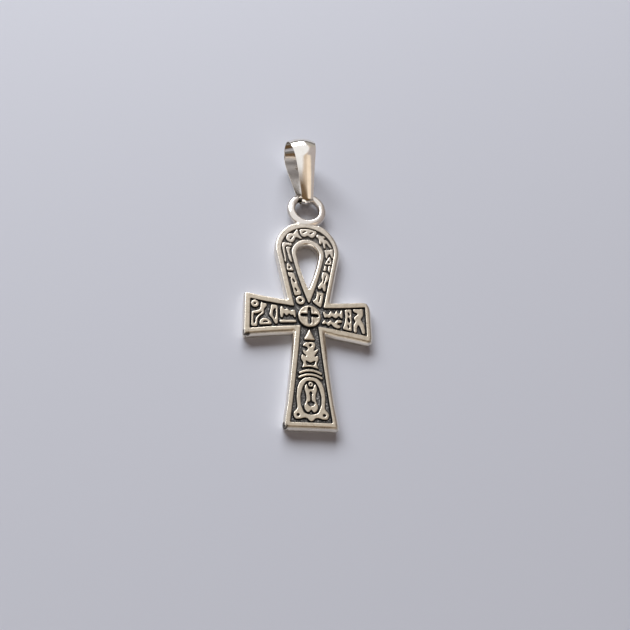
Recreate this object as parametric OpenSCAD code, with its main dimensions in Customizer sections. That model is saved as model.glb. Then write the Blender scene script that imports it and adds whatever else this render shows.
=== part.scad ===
// Silver ankh pendant lying on its back: a cast cross with a looped head, raised signs in a dark
// recessed field, a ring on the crown and a folded tapered bail through the ring.
// Millimetres. The origin is under the middle of the disc, on the flat back. +Z is out of the front,
// +Y runs up the pendant to the bail and X across the arms.

/* [Plate] */
// Thickness from the flat back to the top of the rims
thickness = 1.9; // [1.8:0.05:2.6]
// Depth of the recessed field below the rims
field_depth = 0.45; // [0.2:0.05:0.7]
// How far the raised signs stop short of the rims' top
sign_drop = 0.04; // [0:0.01:0.15]

/* [Arms] */
// Reach of an arm from the middle of the disc to its end
arm_reach = 11.1; // [9:0.1:15]
// Top of an arm's end above the middle of the disc
arm_end_up = 3.7; // [3.2:0.05:4.8]
// Bottom of an arm's end below the middle of the disc
arm_end_down = 3.95; // [3.4:0.05:5]
// Height of the corner between an arm and the loop
arm_root_up = 2.8; // [2.5:0.05:3.1]
// Depth of the corner between an arm and the stem
arm_root_down = 2.75; // [2.5:0.05:3.1]
// How far each long edge of the arms and stem bows in between its ends
edge_flare = 0.08; // [0:0.01:0.15]
// Rounding of the left arm's corners
left_corner_r = 0.25; // [0.1:0.05:1]
// Rounding of the right arm's more worn corners
right_corner_r = 0.7; // [0.1:0.05:1]

/* [Stem] */
// Length of the stem below the middle of the disc
stem_length = 19.2; // [16:0.1:26]
// Half width of the stem where it leaves the arms
stem_top_half = 2.52; // [2.3:0.02:3]
// Half width of the stem's foot
stem_foot_half = 4.28; // [3.8:0.02:5.5]
// Rounding of the foot's corners
foot_corner_r = 0.25; // [0.1:0.05:0.6]

/* [Loop] */
// Outer radius of the loop's round crown
loop_r = 5.8; // [5.6:0.05:7]
// Height of the crown's middle above the middle of the disc
loop_y = 13.3; // [12.5:0.1:16]
// Half width of the loop's foot where it meets the arms
loop_foot_half = 3.7; // [3.5:0.05:4]
// Radius of the wide end of the drop-shaped hole
hole_r = 2; // [1.6:0.05:2.2]
// How far the hole's wide end sits below the crown's middle
hole_drop = 0.9; // [0.6:0.05:1.2]
// Height of the hole's pointed end above the middle of the disc
hole_foot_y = 5.45; // [5:0.05:6.5]
// Radius of the gently bowed sides of the hole
hole_side_r = 30; // [20:1:60]

/* [Rims] */
// Width of the rim round the outline
rim_w = 0.88; // [0.7:0.02:1]
// Extra width of that rim at the top of the crown, under the ring
crown_extra = 0.32; // [0:0.02:0.5]
// Width of the rim at the stem's foot
foot_rim_w = 0.7; // [0.5:0.02:0.88]
// Width of the rim round the drop-shaped hole
hole_rim_w = 0.95; // [0.7:0.05:1]
// Height of the pointed end of that rim above the middle of the disc
hole_rim_foot_y = 2.65; // [2.5:0.05:3.5]
// Rounding of the recessed field's corners
field_corner_r = 0.12; // [0.05:0.01:0.3]

/* [Disc] */
// Radius of the disc where the arms cross
disc_r = 2; // [1.8:0.02:2.1]
// Length of each bar of the sunk cross in the disc
cross_length = 3.1; // [2.6:0.05:3.3]
// Width of those bars
cross_w = 0.46; // [0.3:0.02:0.7]
// How far the sunk cross sits above the middle of the disc
cross_rise = 0.1; // [0:0.02:0.15]

/* [Ring] */
// Inner radius of the ring on the crown
ring_in_r = 2.3; // [2.1:0.05:3]
// Diameter of the ring's wire
ring_wire = 1.34; // [1.2:0.02:1.5]
// How far the ring runs into the crown, where it is soldered
ring_sink = 0.75; // [0.6:0.05:1]
// How far the ring stands above the rims
ring_proud = 0.15; // [0.05:0.01:0.3]

/* [Bail] */
// Length of the bail from its tip to its top
bail_length = 12.8; // [12:0.1:18]
// Half of the inner height of the bail's wide end
bail_in_r = 3.15; // [3.1:0.05:3.8]
// Thickness of the bail's strip
bail_strip = 0.4; // [0.3:0.05:0.5]
// Half width of the strip at the top
bail_top_half = 2.5; // [2:0.05:3]
// Half width of the strip at the tip
bail_tip_half = 0.85; // [0.7:0.05:1]
// Radius of the gently bowed sides, seen from the side
bail_side_r = 60; // [40:1:90]
// Lean of the bail to the left, round its tip
bail_lean = 11; // [0:1:12]
// How far the bail's tip has slid to the left along the ring
bail_slide = 0.15; // [0:0.05:0.3]
// Gap between the bail and the ring, and between the bail and the ground
bail_gap = 0.05; // [0.04:0.01:0.12]

/* [Hidden] */
$fn = 64;
arc_steps = 28;
corner_steps = 5;
side_steps = 9;
dot_sides = 14;
// How far a raised sign runs into the plate, and a cutter past a face
sink = 0.1;
past = 1;
// A sign's corners are cut by a share of the edge, or by this many steps of its chart on a long edge
corner_share = 0.22;
corner_cut = 0.16;

field_z = thickness - field_depth;
sign_h = field_depth - sign_drop;
ring_wire_r = ring_wire / 2;
ring_mid_r = ring_in_r + ring_wire_r;
ring_y = loop_y + loop_r + ring_mid_r + ring_wire_r - ring_sink;
ring_z = thickness + ring_proud - ring_wire_r;

// Size of the grid that the charts of signs are drawn on, in steps
chart_reach = 11.1;
chart_up = 3.7;
chart_down = 3.95;
chart_foot_half = 4.28;
chart_stem = 19.2;
chart_loop_r = 5.8;
chart_loop_y = 13.3;

// Where a step of each chart falls on the plate
on_arm = function (p) [
    p.x * arm_reach / chart_reach,
    p.y * (p.y > 0 ? arm_end_up / chart_up : arm_end_down / chart_down)
];
on_stem = function (p) [p.x * stem_foot_half / chart_foot_half, p.y * stem_length / chart_stem];
on_loop = function (p) [
    p.x * loop_r / chart_loop_r,
    p.y > chart_loop_y
        ? loop_y + (p.y - chart_loop_y) * loop_r / chart_loop_r
        : p.y * loop_y / chart_loop_y
];

// Points on part of a circle, from angle a to angle b
function arc(c, r, a, b, n) = [
    for (i = [0 : n])
        let (t = a + (b - a) * i / n)
        c + r * [cos(t), sin(t)]
];

// Three points that bow the straight line from p to q to its left by a sagitta
function bowed(p, q, sagitta) =
    let (along = (q - p) / norm(q - p), left = [-along.y, along.x])
    [for (t = [0.25, 0.5, 0.75]) p + (q - p) * t + left * sagitta * 4 * t * (1 - t)];

// A closed outline with each corner [x, y, radius] rounded by its own radius
function rounded(rows) = [
    for (i = [0 : len(rows) - 1])
        let (
            row = rows[i],
            here = [row.x, row.y],
            before = rows[(i + len(rows) - 1) % len(rows)],
            after = rows[(i + 1) % len(rows)],
            u = ([before.x, before.y] - here) / norm([before.x, before.y] - here),
            v = ([after.x, after.y] - here) / norm([after.x, after.y] - here),
            half = acos(u * v) / 2,
            mid = here + (u + v) / norm(u + v) * row[2] / sin(half),
            from = here + u * row[2] / tan(half) - mid,
            to = here + v * row[2] / tan(half) - mid,
            a = atan2(from.y, from.x),
            turn = atan2(from.x * to.y - from.y * to.x, from * to)
        )
        each row[2] == 0 ? [here] : arc(mid, row[2], a, a + turn, corner_steps)
];

// The rim widens over the crown and narrows down the stem
function rim_at(y) = y > 0
    ? rim_w + crown_extra * max(0, (y - loop_y) / loop_r)
    : rim_w + (foot_rim_w - rim_w) * max(0, (-y - arm_end_down) / (stem_length - arm_end_down));

// The same rows moved in by the rim's width, for an outline drawn anticlockwise
function inset(rows, corner_r) = [
    for (i = [0 : len(rows) - 1])
        let (
            row = rows[i],
            here = [row.x, row.y],
            before = rows[(i + len(rows) - 1) % len(rows)],
            after = rows[(i + 1) % len(rows)],
            u = (here - [before.x, before.y]) / norm(here - [before.x, before.y]),
            v = ([after.x, after.y] - here) / norm([after.x, after.y] - here),
            n = [-u.y - v.y, u.x + v.x],
            p = here + n * rim_at(here.y) / (1 + u * v)
        )
        [p.x, p.y, row[2] == 0 ? 0 : corner_r]
];

// An egg along +Y from a small end at the origin to a big end d away, with bowed sides
function egg(big_r, small_r, d, side_r) =
    let (
        y = (pow(side_r - small_r, 2) - pow(side_r - big_r, 2) + d * d) / (2 * d),
        x = sqrt(pow(side_r - small_r, 2) - y * y),
        big_a = atan2(d - y, x),
        small_a = atan2(-y, x)
    )
    concat(
        arc([0, d], big_r, big_a, 180 - big_a, arc_steps),
        arc([x, y], side_r, 180 - big_a, 180 - small_a, side_steps),
        small_r > 0 ? arc([0, 0], small_r, 180 - small_a, 360 + small_a, arc_steps / 2) : [],
        arc([-x, y], side_r, small_a, big_a, side_steps)
    );

// A closed outline with its corners cut once, as casting softens them
function softened(points) = [
    for (i = [0 : len(points) - 1])
        let (
            p = points[i],
            q = points[(i + 1) % len(points)],
            cut = (q - p) * min(corner_share, corner_cut / norm(q - p))
        )
        each [p + cut, q - cut]
];

// The right half of an outline, from top to bottom, with its mirror image
function both_sides(half) = concat(
    [for (p = half) if (p.x > 0) p],
    [for (i = [len(half) - 1 : -1 : 0]) [-half[i].x, half[i].y]]
);

function slot(row) =
    let (a = row[0], b = row[1], r = row[2] / 2, turn = atan2(b.y - a.y, b.x - a.x))
    concat(arc(b, r, turn - 90, turn + 90, corner_steps), arc(a, r, turn + 90, turn + 270, corner_steps));

function dot(row) = [
    for (i = [0 : dot_sides - 1])
        let (a = i * 360 / dot_sides)
        [row.x, row.y] + row[2] * [cos(a), sin(a)]
];

function moved(points, step) = [for (p = points) p + step];

function first_of(loops, i) = i == 0 ? 0 : first_of(loops, i - 1) + len(loops[i - 1]);

// Loops inside one another are cut and filled in turn
module loops_2d(loops) {
    polygon(
        points = [for (l = loops) each l],
        paths = [for (i = [0 : len(loops) - 1]) [for (j = [0 : len(loops[i]) - 1]) first_of(loops, i) + j]]
    );
}

// The outline of the cross and loop, anticlockwise, as rows of x, y and corner radius
outline_rows =
    let (
        pit = [loop_foot_half, arm_root_up - loop_y],
        side_a = atan2(pit.y, pit.x) + acos(loop_r / norm(pit)),
        up_pit = [loop_foot_half, arm_root_up],
        up_end = [arm_reach, arm_end_up],
        down_pit = [stem_top_half, -arm_root_down],
        down_end = [arm_reach, -arm_end_down],
        toe = [stem_foot_half, -stem_length],
        flip = function (p) [-p.x, p.y],
        plain = function (points) [for (p = points) [p.x, p.y, 0]],
        corner = function (p, r) [[p.x, p.y, r]]
    )
    concat(
        corner(down_end, right_corner_r),
        corner(up_end, right_corner_r),
        plain(bowed(up_end, up_pit, edge_flare)),
        corner(up_pit, field_corner_r),
        plain(arc([0, loop_y], loop_r, side_a, 180 - side_a, 2 * arc_steps)),
        corner(flip(up_pit), field_corner_r),
        plain(bowed(flip(up_pit), flip(up_end), edge_flare)),
        corner(flip(up_end), left_corner_r),
        corner(flip(down_end), left_corner_r),
        plain(bowed(flip(down_end), flip(down_pit), edge_flare)),
        corner(flip(down_pit), field_corner_r),
        plain(bowed(flip(down_pit), flip(toe), edge_flare)),
        corner(flip(toe), foot_corner_r),
        corner(toe, foot_corner_r),
        plain(bowed(toe, down_pit, edge_flare)),
        corner(down_pit, field_corner_r),
        plain(bowed(down_pit, down_end, edge_flare))
    );

hole_y = loop_y - hole_drop;
hole_loop = moved(egg(hole_r, 0, hole_y - hole_foot_y, hole_side_r), [0, hole_foot_y]);
// The pointed end of the hole's rim is slightly blunt, for its sides to be circles that meet it
hole_rim_tip_r = 0.15;
hole_rim_from_y = hole_rim_foot_y + hole_rim_tip_r;
hole_rim_loop = moved(
    egg(hole_r + hole_rim_w, hole_rim_tip_r, hole_y - hole_rim_from_y, 2 * hole_side_r),
    [0, hole_rim_from_y]
);
outline_loop = rounded(outline_rows);
field_loop = rounded(inset(outline_rows, field_corner_r));

// Charts of the raised signs. Each row holds an outline of [x, y] points, then its sunk slots
// [from, to, width], its sunk dots [x, y, radius] and its sunk panels of [x, y] points, all in steps.
left_arm_signs = [
    // A leg bent at the knee
    [
        [[-8.35, 2.1], [-7.9, 1.85], [-7.4, 1.85], [-7.35, 1.4], [-7.85, 0.85], [-7.8, 0], [-8.5, -0.5],
            [-8.9, -1.1], [-8.95, -2.5], [-9.95, -2.5], [-9.95, 0.2], [-8.9, 0.45], [-8.45, 0.9],
            [-8.45, 1.6]],
        [], [],
        [[[-9.6, -0.1], [-9.6, -1.95], [-9.3, -1.95], [-9.25, -1.1], [-8.8, -0.4], [-8.15, 0.1],
            [-8.25, 0.35], [-8.8, 0], [-9.2, -0.15]]]
    ],
    // A loaf
    [
        [[-8.6, -2.15], [-8.55, -1.4], [-8.15, -0.95], [-7.5, -0.85], [-6.9, -1.15], [-6.45, -1.7],
            [-6.6, -1.95], [-7.6, -2.05]],
        [], [],
        [[[-8.05, -1.75], [-7.85, -1.4], [-7.4, -1.3], [-7, -1.6]]]
    ],
    // A reed leaf
    [
        [[-6.65, 1.75], [-5.5, 1.65], [-5.45, 0.2], [-5.45, -1.6], [-5.75, -1.85], [-6.1, -1.5],
            [-6.4, -0.8], [-6.95, -0.3], [-6.75, 0.7]],
        [], [],
        [[[-5.85, 1.25], [-5.8, 0.2], [-5.9, -0.95], [-6.35, -0.3], [-6.3, 0.7]]]
    ],
    // A ripple of water
    [
        [[-5.05, 1.35], [-4.85, 1.6], [-4.6, 1.5], [-4.35, 0.95], [-3.75, 1.25], [-3.4, 0.8],
            [-2.9, 1.05], [-2.4, 1.05], [-2.35, -0.35], [-2.6, -0.35], [-2.8, 0.2], [-3.15, 0],
            [-3.5, 0.4], [-3.95, -0.2], [-4.45, 0.45], [-4.6, -0.5], [-4.95, -0.55], [-5.1, 0.2]],
        [], [], []
    ],
    // A bar
    [[[-5.15, -1], [-2.35, -0.8], [-2.2, -1.05], [-2.35, -1.25], [-5.1, -1.5], [-5.2, -1.25]], [], [], []]
];

right_arm_signs = [
    // The upper ripple
    [
        [[2.45, 1], [2.7, 1.25], [2.95, 0.8], [3.45, 0.65], [3.85, 1.45], [4.2, 0.95], [4.6, 0.9],
            [4.9, 1.65], [5.15, 1.05], [5.5, 1], [5.7, 1.7], [6, 1.65], [5.95, 0.1], [5.7, 0.1],
            [5.3, 0.65], [4.9, 0.1], [4.5, 0.1], [4.05, 0.5], [3.55, 0], [3.2, 0.2], [2.7, -0.05]],
        [], [], []
    ],
    // The lower ripple, which ends in a fork
    [
        [[2.15, -1.2], [2.45, -0.6], [2.75, -0.4], [3.05, -0.85], [3.3, -0.85], [3.75, -0.3],
            [4.1, -0.75], [4.5, -0.8], [4.85, -0.25], [5.85, -0.25], [5.8, -0.7], [5.1, -0.75],
            [4.85, -1.1], [5.5, -1.25], [5.5, -1.7], [5, -1.85], [4.3, -1.6], [3.8, -0.95],
            [3.4, -1.6], [2.95, -1], [2.6, -1.2]],
        [], [], []
    ],
    // A panel with three slots
    [
        [[6.4, 1.85], [7.65, 2], [7.6, 0.4], [7.5, -2.2], [5.9, -1.85], [6.3, -0.8], [6.5, 0.4]],
        [[[7.05, 1.3], [7.2, 0.8], 0.27], [[7.05, 0.1], [7.12, -0.3], 0.27],
            [[6.9, -1.1], [7, -1.55], 0.27]],
        [], []
    ],
    // A standing form on two legs
    [
        [[7.85, 2.05], [9, 2.15], [9.75, 2.3], [9.75, 1], [9.3, 0.3], [9.3, 0], [9.75, -0.6],
            [9.95, -2], [9.85, -2.55], [9.4, -2.5], [9.15, -1.5], [8.8, -0.75], [8.5, -1.3],
            [8.4, -2.4], [7.85, -2.35], [7.9, -1], [8.35, -0.2], [8, 0.1], [8.1, 0.6], [8.8, 1.1],
            [8.6, 1.4], [8.1, 1.5]],
        [], [], []
    ]
];

loop_signs = [
    // A long panel with two slots
    [
        [[-3.75, 8.3], [-2.6, 8.25], [-2.35, 7.4], [-2, 6.6], [-1.95, 5.9], [-1.35, 4.6], [-1.4, 4.1],
            [-2.5, 3.8], [-2.75, 4.9], [-3.1, 6.2], [-3.25, 7.05], [-3.1, 7.3], [-3.55, 7.5]],
        [[[-2.8, 7], [-2.5, 6.45], 0.26], [[-2.4, 5.25], [-2.12, 4.75], 0.26]],
        [], []
    ],
    // A small mound with a dot, on the left
    [
        [[-3.85, 10.1], [-3.45, 10.1], [-2.65, 9], [-2.7, 8.7], [-3.85, 8.65], [-3.9, 9.3]],
        [], [[-3.4, 9.3, 0.16]], []
    ],
    // The outer hooked stroke
    [
        [[-4.65, 14.35], [-2.85, 14.3], [-3, 13.7], [-3.9, 13.85], [-4.25, 13.3], [-4.1, 12.2],
            [-3.95, 11], [-3.95, 10.35], [-4.25, 10.35], [-4.3, 11.2], [-4.55, 12.4], [-4.75, 13.6]],
        [], [], []
    ],
    // The inner stroke
    [
        [[-4, 13.5], [-3, 13.5], [-3.35, 13], [-3.35, 12.3], [-3.05, 11.5], [-2.85, 10.4],
            [-3.15, 10.4], [-3.5, 11], [-3.75, 12.2], [-3.95, 12.9]],
        [], [], []
    ],
    // An oval with a forked tail
    [
        [[-3.95, 15.6], [-3.95, 14.9], [-3.4, 14.55], [-2.8, 14.5], [-2.4, 15], [-2.3, 15.6],
            [-1.9, 15.75], [-1.4, 15.4], [-1, 15.5], [-1.2, 15.85], [-1.5, 16.1], [-1.75, 16.7],
            [-1.7, 17.3], [-2, 17.4], [-2.3, 16.95], [-2.6, 16.4], [-3.2, 16.4], [-3.7, 16.15]],
        [[[-3.2, 15.2], [-2.8, 15.75], 0.22]],
        [], []
    ],
    // Two lobes at the crown
    [
        [[-1.5, 17.45], [-0.5, 17.65], [0.6, 17.65], [1.75, 17.35], [1.75, 16.9], [1.45, 16.4],
            [1.1, 15.95], [0.6, 15.9], [0.05, 16.35], [-0.5, 15.9], [-1, 16], [-1.4, 16.5]],
        [[[-0.85, 16.8], [-0.35, 17.1], 0.24], [[0.5, 16.75], [0.95, 17], 0.24]],
        [], []
    ],
    // A branch with three twigs
    [
        [[1.65, 16.35], [1.85, 16.8], [2.6, 16.5], [3.2, 16.5], [3.45, 16.2], [3, 16], [3.1, 15.8],
            [3.7, 15.65], [4.1, 15], [4.5, 14.3], [4.4, 14], [4, 14.3], [3.5, 15.1], [3.3, 14.8],
            [3.4, 13.9], [3, 13.9], [2.9, 14.6], [2.75, 15.3], [2.55, 14.7], [2.2, 14.7],
            [2.15, 15.6], [2, 16], [1.7, 16.05]],
        [], [], []
    ],
    // A notched block
    [
        [[3.05, 13.55], [3.9, 13.6], [4.75, 14], [4.72, 12.9], [4.75, 12], [4.45, 12], [4.1, 12.95],
            [3.85, 12.6], [3.55, 11.85], [3.3, 11.85], [3.25, 12.8]],
        [], [], []
    ],
    // A small mound with a dot, on the right
    [
        [[4, 12.3], [4.3, 11.9], [4.35, 11], [4.3, 10.55], [3.15, 10.6], [3.2, 10.9], [3.6, 11.6]],
        [], [[3.87, 11.15, 0.16]], []
    ],
    // Two short blocks
    [[[3, 10.3], [3.45, 10.3], [3.3, 9.2], [2.75, 9.2]], [], [], []],
    [[[3.75, 10.35], [4.2, 10.35], [4.1, 9.4], [3.9, 8.95], [3.6, 9.3]], [], [], []],
    // A knot with two ends
    [
        [[2.45, 8.4], [2.65, 8.95], [3.4, 8.95], [3.8, 8.4], [3.75, 7.8], [3.5, 7.15], [3.1, 6.8],
            [3.15, 5.9], [3.05, 5.15], [2.7, 5.1], [2.45, 6], [2.2, 5.5], [1.8, 5.45], [1.65, 5.85],
            [2.1, 6.6], [2.55, 7.1], [2.4, 7.8]],
        [[[3.15, 8.2], [2.75, 6.75], 0.19]],
        [], []
    ],
    // A five-sided panel with a slot
    [
        [[1.4, 5.1], [1.8, 4.8], [2.7, 4.8], [2.6, 3.9], [2.35, 2.7], [2.1, 1.85], [1.3, 2.4],
            [0.6, 2.95], [1.25, 3.55], [1.45, 4.3]],
        [[[2.05, 4.25], [1.75, 3], 0.21]],
        [], []
    ]
];

stem_signs = [
    // A mound under the disc
    [[[0, -2.25], [0.5, -3.25], [1, -4.3], [-1.05, -4.3], [-0.5, -3.25]], [], [], []],
    // A bird with a hooked beak, over its perch
    [
        [[-1.3, -5.5], [-1, -4.95], [-0.3, -4.65], [0.7, -4.65], [1, -5.1], [0.85, -5.7], [0.6, -6.2],
            [0.75, -6.3], [1.45, -5.8], [1.4, -6.2], [0.75, -7.1], [0.8, -7.35], [1.4, -7.05],
            [1.45, -7.8], [1.1, -8.4], [1.2, -9], [1.5, -9.45], [0.7, -9.2], [0, -9.1], [-0.7, -9.15],
            [-1.5, -9.35], [-1.2, -8.9], [-1.15, -8.4], [-1.6, -7.7], [-1.4, -6.9], [-0.8, -7.3],
            [-0.5, -7.2], [-1.1, -6.75], [-1.3, -6.2], [-1.05, -6.15], [-0.7, -6.4], [-0.35, -6.1],
            [-0.4, -5.65], [-0.8, -5.5]],
        [], [[0.1, -5.3, 0.18]],
        [[[-0.8, -7.95], [0, -8.4], [0.95, -7.95], [0.7, -8.85], [0, -8.75], [-0.6, -8.9]]]
    ],
    // An arched frame on a scrolled base, with an egg-shaped field
    [
        both_sides([[0, -10.9], [1.1, -11.1], [1.85, -11.8], [2.25, -12.9], [2.4, -14.5],
            [2.25, -16.1], [2.45, -16.5], [2.9, -16.9], [2.9, -17.5], [2.6, -17.95], [1.9, -17.95],
            [1.2, -17.7], [0.6, -17.8], [0.4, -18.1], [0, -18.35]]),
        [], [[-2.15, -17.27, 0.18], [2.15, -17.27, 0.18]],
        [both_sides([[0, -11.5], [0.75, -11.6], [1.35, -12.6], [1.75, -14.2], [1.7, -15.6],
            [1.2, -16.9], [0.4, -17.2]])]
    ],
    // A beetle inside the frame
    [
        both_sides([[0, -13], [0.42, -12.95], [0.5, -12.5], [0.75, -12.05], [1, -12.6], [1.05, -13.1],
            [0.8, -13.8], [0.75, -14.6], [0.85, -15.1], [1.15, -15.7], [1.1, -16.3], [0.65, -16.85],
            [0.3, -16.75], [0, -16.3]]),
        [], [],
        [both_sides([[0, -13.2], [0.3, -13.7], [0.13, -13.95], [0.13, -15], [0.6, -15.1], [0.6, -15.5],
            [0.2, -15.85]])]
    ]
];

// Round signs, as x, y, radius and the radius of the sunk dot, in steps
arm_eyelets = [[-9.4, 1.7, 0.68, 0.15]];
loop_eyelets = [[-1.5, 3, 0.82, 0.3]];
stem_eyelets = [[0, -12.15, 0.42, 0.12]];

// Curved bars over the arched frame, as the height of the crest, the half span and the width, in steps
stem_bars = [[-9.75, 1.8, 0.38], [-10.47, 1.92, 0.36]];
bar_bend_r = 3.6;

module plate() {
    color("silver")
        difference() {
            linear_extrude(thickness) loops_2d([outline_loop, hole_loop]);
            translate([0, 0, field_z])
                linear_extrude(field_depth + past) loops_2d([field_loop, hole_rim_loop]);
        }
}

// One raised sign with everything sunk in it
module raised(loops, height = sign_h) {
    translate([0, 0, field_z - sink]) linear_extrude(height + sink) loops_2d(loops);
}

module signs(rows, place) {
    for (row = rows)
        raised([
            for (l = concat([softened(row[0])], [for (s = row[1]) slot(s)], [for (d = row[2]) dot(d)],
                [for (c = row[3]) softened(c)]))
                [for (p = l) place(p)]
        ]);
}

module eyelets(rows, place) {
    for (row = rows)
        raised([for (r = [row[2], row[3]]) moved(dot([0, 0, r]), place([row.x, row.y]))]);
}

module bars(rows, place) {
    for (row = rows)
        let (
            mid = [0, row[0] - bar_bend_r],
            a = asin(row[1] / bar_bend_r),
            out_r = bar_bend_r + row[2] / 2,
            in_r = bar_bend_r - row[2] / 2,
            from = mid + bar_bend_r * [sin(a), cos(a)],
            to = mid + bar_bend_r * [-sin(a), cos(a)],
            loop = concat(
                arc(mid, out_r, 90 - a, 90 + a, side_steps),
                arc(to, row[2] / 2, 90 + a, 270 + a, corner_steps),
                arc(mid, in_r, 90 + a, 90 - a, side_steps),
                arc(from, row[2] / 2, 270 - a, 450 - a, corner_steps)
            )
        )
        raised([[for (p = loop) place(p)]]);
}

module relief() {
    color("gainsboro") {
        signs(left_arm_signs, on_arm);
        signs(right_arm_signs, on_arm);
        signs(loop_signs, on_loop);
        signs(stem_signs, on_stem);
        eyelets(arm_eyelets, on_arm);
        eyelets(loop_eyelets, on_loop);
        eyelets(stem_eyelets, on_stem);
        bars(stem_bars, on_stem);
    }
}

module disc() {
    reach = (cross_length - cross_w) / 2;
    mid = [0, cross_rise];
    bars = [for (way = [[1, 0], [0, 1]]) slot([mid - way * reach, mid + way * reach, cross_w])];
    color("gainsboro")
        difference() {
            translate([0, 0, field_z - sink]) cylinder(r = disc_r, h = field_depth + sink);
            for (bar = bars)
                translate([0, 0, field_z]) linear_extrude(field_depth + past) polygon(bar);
        }
}

module ring() {
    color("silver")
        translate([0, ring_y, ring_z]) rotate_extrude() translate([ring_mid_r, 0]) circle(ring_wire_r);
}

module ankh() {
    plate();
    relief();
    disc();
    ring();
}

// Half width of the strip from the tip up, as shares of the bail's length and of the growth in width
strip_rows = [
    [0, 0], [0.06, 0.14], [0.19, 0.28], [0.31, 0.41], [0.44, 0.52],
    [0.58, 0.72], [0.72, 0.9], [0.86, 0.97], [1, 1]
];
ring_share = 0.1;
function strip_half(share) = bail_tip_half + lookup(share, strip_rows) * (bail_top_half - bail_tip_half);

// Across the strip's width the ring's wire moves along the bail, by its curve and by the bail's lean.
// The bore at the bail's tip clears the wire all the way, with the strip under it on the ground.
bore_half = strip_half(ring_share);
wire_from = sqrt(pow(ring_in_r, 2) - pow(bore_half, 2)) + ring_wire_r;
wire_shift = (ring_mid_r - wire_from) / 2 + bore_half * sin(bail_lean);
wire_room = ring_wire_r + bail_gap;
wire_rise = ring_z - bail_strip - bail_gap / 2;
bore_r = (pow(wire_rise, 2) + pow(wire_shift, 2) - pow(wire_room, 2)) / (2 * (wire_rise - wire_room));
tip_r = bore_r + bail_strip;
tip_y = (ring_mid_r + wire_from) / 2;
tip_z = tip_r + bail_gap / 2;
top_r = bail_in_r + bail_strip;
bail_d = bail_length - tip_r - top_r;
// Lying on its bowed back, the bail touches the ground just behind its tip
back_y = (pow(bail_side_r - tip_r, 2) - pow(bail_side_r - top_r, 2) + pow(bail_d, 2)) / (2 * bail_d);
bail_tilt = asin(back_y / (bail_side_r - tip_r));

module bail_profile() {
    difference() {
        polygon(egg(top_r, tip_r, bail_d, bail_side_r));
        polygon(egg(bail_in_r, bore_r, bail_d, bail_side_r - bail_strip));
    }
}

module strip_outline() {
    reach = bail_length + 2 * bail_gap;
    half = [for (row = strip_rows) [strip_half(row[0]), row[0] * reach - tip_r - bail_gap]];
    polygon(concat(half, [for (i = [len(half) - 1 : -1 : 0]) [-half[i].x, half[i].y]]));
}

module bail() {
    color("silver")
        translate([-bail_slide, ring_y + tip_y, 0])
            rotate([0, 0, bail_lean])
                intersection() {
                    translate([0, 0, tip_z])
                        rotate([bail_tilt, 0, 0])
                            rotate([90, 0, 90])
                                translate([0, 0, -bail_top_half - past])
                                    linear_extrude(2 * (bail_top_half + past))
                                        rotate([0, 0, -90])
                                            bail_profile();
                    translate([0, 0, -past]) linear_extrude(2 * (top_r + past)) strip_outline();
                }
}

ankh();
bail();
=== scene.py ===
import math
import bpy
import bmesh
import numpy as np
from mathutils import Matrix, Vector, geometry, kdtree, noise


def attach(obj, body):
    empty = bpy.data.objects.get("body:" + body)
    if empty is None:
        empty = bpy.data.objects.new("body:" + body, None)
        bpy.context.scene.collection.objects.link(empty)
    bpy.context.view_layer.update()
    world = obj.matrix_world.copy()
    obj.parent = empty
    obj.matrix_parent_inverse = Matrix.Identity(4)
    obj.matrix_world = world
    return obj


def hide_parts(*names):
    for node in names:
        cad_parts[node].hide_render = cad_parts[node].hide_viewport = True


# A cast silver ankh pendant lying on its back, with its bail on the ring.
# The solids give the outline and the signs. Here the casting gets soft edges, worn tops and dark recesses.

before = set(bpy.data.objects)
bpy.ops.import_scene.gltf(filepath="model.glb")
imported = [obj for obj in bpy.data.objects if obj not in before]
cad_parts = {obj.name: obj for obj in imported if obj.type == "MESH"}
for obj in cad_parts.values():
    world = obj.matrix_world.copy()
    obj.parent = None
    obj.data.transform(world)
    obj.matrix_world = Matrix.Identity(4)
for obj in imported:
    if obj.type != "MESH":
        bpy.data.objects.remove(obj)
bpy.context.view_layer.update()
mm = 0.001
print("frame loaded:", sorted(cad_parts))


# Colour and node helpers

def linear(hexColour):
    # sRGB hex to linear light, with full alpha
    values = [int(hexColour[i:i + 2], 16) / 255 for i in (1, 3, 5)]
    return tuple(v / 12.92 if v <= 0.04045 else ((v + 0.055) / 1.055) ** 2.4 for v in values) + (1.0,)


def addNode(tree, kind, settings=None, inputs=None):
    # inputs holds a value, or a (node, socket) pair to link from
    made = tree.nodes.new(kind)
    for key, value in (settings or {}).items():
        setattr(made, key, value)
    for key, value in (inputs or {}).items():
        if isinstance(value, tuple) and len(value) == 2 and hasattr(value[0], "outputs"):
            tree.links.new(value[0].outputs[value[1]], made.inputs[key])
        else:
            made.inputs[key].default_value = value
    return made


def emptyMaterial(name):
    material = bpy.data.materials.new(name)
    material.use_nodes = True
    material.node_tree.nodes.clear()
    return material, material.node_tree


# Lines and distances, all in millimetres on the pendant's plane

def smoothStep(low, high, x):
    # From 0 at low to 1 at high, also where low is the larger of the two
    t = np.clip((x - low) / (high - low), 0, 1)
    return t * t * (3 - 2 * t)


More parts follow.
